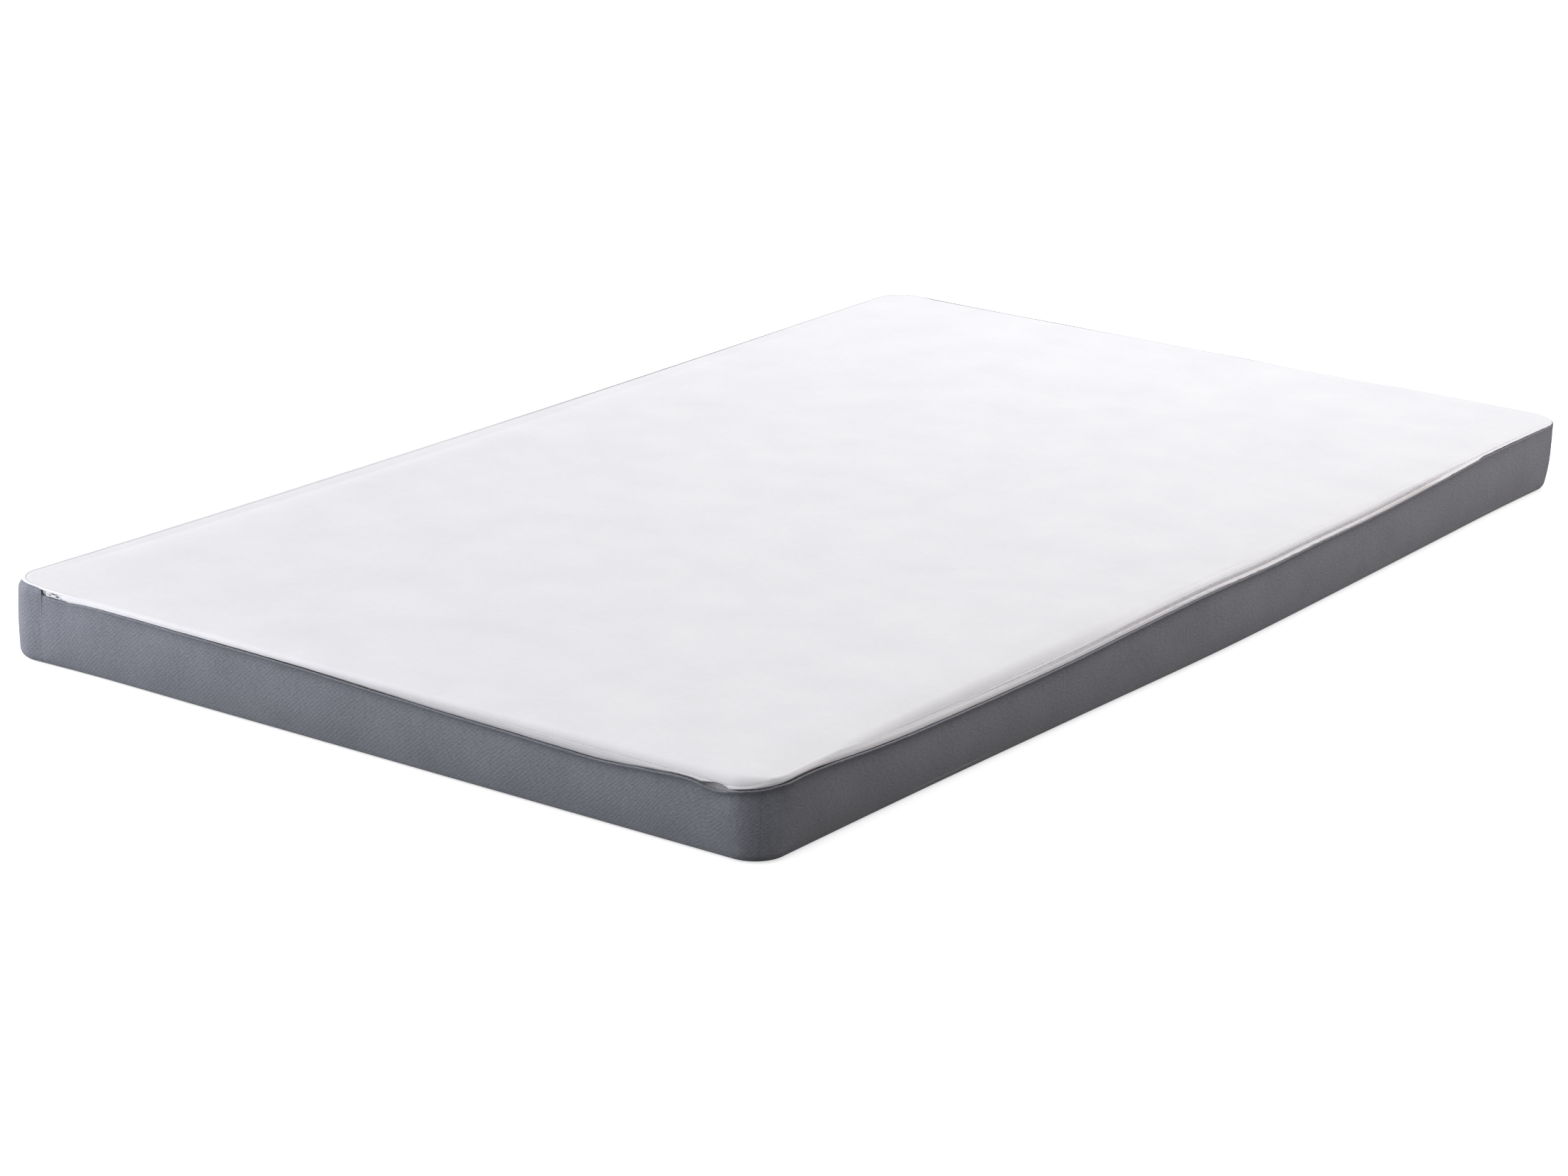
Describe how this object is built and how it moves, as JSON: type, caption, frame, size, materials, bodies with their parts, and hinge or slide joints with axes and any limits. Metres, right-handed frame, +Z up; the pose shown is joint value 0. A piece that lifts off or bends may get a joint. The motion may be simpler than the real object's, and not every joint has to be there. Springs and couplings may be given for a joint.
{
  "type": "foam mattress",
  "caption": "Thin memory foam mattress with a white knit top, a grey twill border and a removable zipped cover.",
  "frame": {"origin": "middle of the underside, on the surface that the mattress lies on", "axes": "+Z up, +Y towards the head end along the length, +X towards the right long side"},
  "size_m": [1.2011, 2, 0.105],
  "materials": {
    "white_knit": "soft matt double-knit",
    "grey_twill": "matt woven twill, melange",
    "grey_backing": "plain matt weave",
    "white_tape": "woven polyester tape",
    "white_nylon": "semi-gloss monofilament coil",
    "white_enamel": "stove-enamelled zinc",
    "liner_jersey": "thin stretch jersey",
    "support_foam": "open-cell cut foam",
    "memory_foam": "open-cell cut foam",
    "label_satin": "smooth satin ribbon, blank"
  },
  "bodies": {
    "mattress": {"support_foam_core": "support_foam", "memory_foam_layer": "memory_foam", "liner_lower": "liner_jersey", "liner_upper": "liner_jersey", "bottom_panel": "grey_backing", "bottom_seam_tape": "grey_backing", "border_foot": "grey_twill", "border_right": "grey_twill", "border_head": "grey_twill", "border_left": "grey_twill", "top_panel": "white_knit", "zip_lower_tape": "white_tape", "zip_upper_tape": "white_tape", "zip_lower_coil": "white_nylon", "zip_upper_coil": "white_nylon", "zip_start_stop": "white_nylon", "zip_end_stop": "white_nylon", "care_label": "label_satin"},
    "zip_slider": {"zip_slider": "white_enamel"},
    "zip_pull_tab": {"zip_pull_tab": "white_enamel"}
  },
  "joints": [
    {"name": "zip_travel", "type": "slide", "parent": "mattress", "child": "zip_slider", "axis": [1, 0, -0.0086], "range_m": [0, 1.052]},
    {"name": "tab_swing", "type": "hinge", "parent": "zip_slider", "child": "zip_pull_tab", "pos_m": [-0.517, -0.9986, 0.09802], "axis": [-0.0086, 0, -1], "range_deg": [0, 150]}
  ]
}
